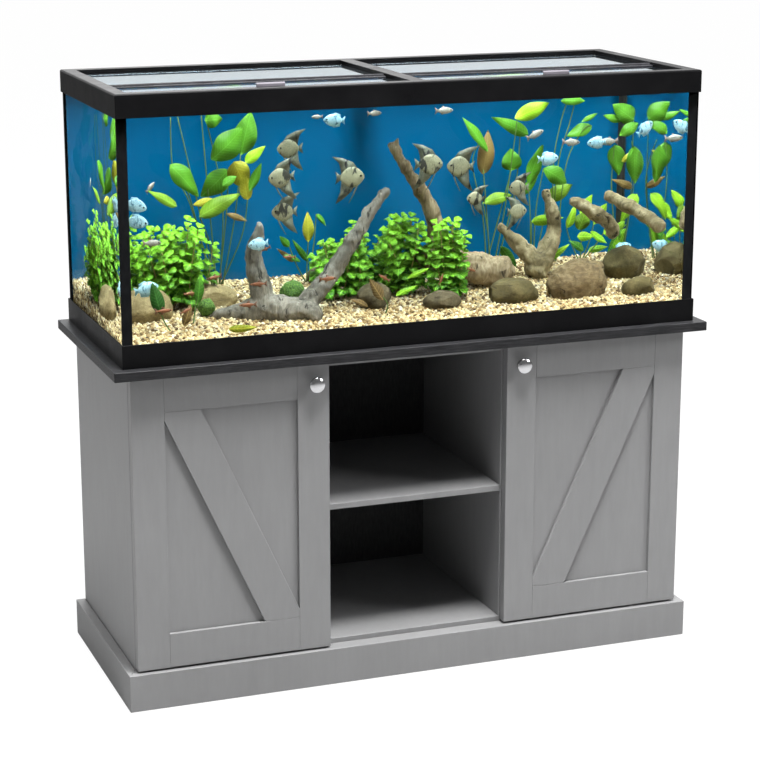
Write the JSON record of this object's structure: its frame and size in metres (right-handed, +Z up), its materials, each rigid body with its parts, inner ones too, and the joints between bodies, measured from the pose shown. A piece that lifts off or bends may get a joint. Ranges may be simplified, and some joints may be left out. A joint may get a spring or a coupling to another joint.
{
  "type": "aquarium on stand",
  "caption": "Glass aquarium with black trim, hinged glass canopies and a planted driftwood layout, standing on a grey cabinet with barn-style hinged doors and open centre shelves.",
  "frame": {"origin": "on the floor, under the middle of the stand's top board", "axes": "+Z up, +X along the tank to the right seen from the doors, -Y is the door side"},
  "size_m": [1.276, 0.5, 1.24],
  "materials": {
    "grey_paint": "satin painted board",
    "back_board": "dark thin board",
    "black_woodgrain": "black wood grain laminate",
    "bright_steel": "zinc plated",
    "polished_chrome": "satin nickel",
    "black_trim": "satin black",
    "hinge_plastic": "black extrusion",
    "grey_tab": "grey",
    "tank_glass": "clear float glass",
    "lid_glass": "clear float glass",
    "clear_vinyl": "translucent",
    "black_silicone": "black sealant",
    "blue_film": "blue background film",
    "gravel": "rounded natural gravel",
    "river_stone": "water worn",
    "driftwood": "weathered",
    "moss": "velvety",
    "leaf_green": "soft leaves"
  },
  "bodies": {
    "stand": {"front_plinth": "grey_paint", "side_plinths": "grey_paint", "rear_plinth": "grey_paint", "cabinet_floor": "grey_paint", "centre_shelf": "grey_paint", "top_rails": "grey_paint", "floor_supports": "grey_paint", "left_side_panel": "grey_paint", "left_divider": "grey_paint", "right_side_panel": "grey_paint", "right_divider": "grey_paint", "centre_back_panel": "back_board", "side_back_panels": "back_board", "stand_top": "black_woodgrain", "shelf_pins": "bright_steel", "top_screws": "bright_steel", "hinge_arms": "bright_steel", "base_frame": "black_trim", "top_frame": "black_trim", "bottom_glass": "tank_glass", "front_glass": "tank_glass", "back_glass": "tank_glass", "left_glass": "tank_glass", "right_glass": "tank_glass", "corner_seals": "black_silicone", "background_film": "blue_film", "gravel_bed": "gravel", "river_stones": "river_stone", "driftwood_left": "driftwood", "driftwood_log": "driftwood", "driftwood_right": "driftwood", "tree_stump": "driftwood", "moss_balls": "moss", "water_plants": "leaf_green"},
    "left_door": {"left_door_stiles": "grey_paint", "left_door_rails": "grey_paint", "left_door_panel": "grey_paint", "left_door_brace": "grey_paint", "left_hinge_cups": "bright_steel", "left_knob": "polished_chrome"},
    "right_door": {"right_door_stiles": "grey_paint", "right_door_rails": "grey_paint", "right_door_panel": "grey_paint", "right_door_brace": "grey_paint", "right_hinge_cups": "bright_steel", "right_knob": "polished_chrome"},
    "left_canopy": {"left_hinge_pin": "bright_steel", "left_rear_leaf": "hinge_plastic", "left_rear_pane": "lid_glass", "left_back_strip": "clear_vinyl"},
    "left_flap": {"left_front_leaf": "hinge_plastic", "left_lid_tab": "grey_tab", "left_front_pane": "lid_glass"},
    "right_canopy": {"right_hinge_pin": "bright_steel", "right_rear_leaf": "hinge_plastic", "right_rear_pane": "lid_glass", "right_back_strip": "clear_vinyl"},
    "right_flap": {"right_front_leaf": "hinge_plastic", "right_lid_tab": "grey_tab", "right_front_pane": "lid_glass"}
  },
  "joints": [
    {"name": "left_door_hinge", "type": "hinge", "parent": "stand", "child": "left_door", "pos_m": [-0.592, -0.21, 0.38], "axis": [0, 0, -1], "range_deg": [0, 105]},
    {"name": "left_canopy_lift", "type": "slide", "parent": "stand", "child": "left_canopy", "axis": [0, 0, 1], "range_m": [0, 0.15]},
    {"name": "left_flap_hinge", "type": "hinge", "parent": "left_canopy", "child": "left_flap", "pos_m": [-0.3015, -0.052, 1.228], "axis": [-1, 0, 0], "range_deg": [0, 170]},
    {"name": "right_door_hinge", "type": "hinge", "parent": "stand", "child": "right_door", "pos_m": [0.592, -0.21, 0.38], "axis": [0, 0, 1], "range_deg": [0, 105]},
    {"name": "right_canopy_lift", "type": "slide", "parent": "stand", "child": "right_canopy", "axis": [0, 0, 1], "range_m": [0, 0.15]},
    {"name": "right_flap_hinge", "type": "hinge", "parent": "right_canopy", "child": "right_flap", "pos_m": [0.3015, -0.052, 1.228], "axis": [-1, 0, 0], "range_deg": [0, 170]}
  ]
}
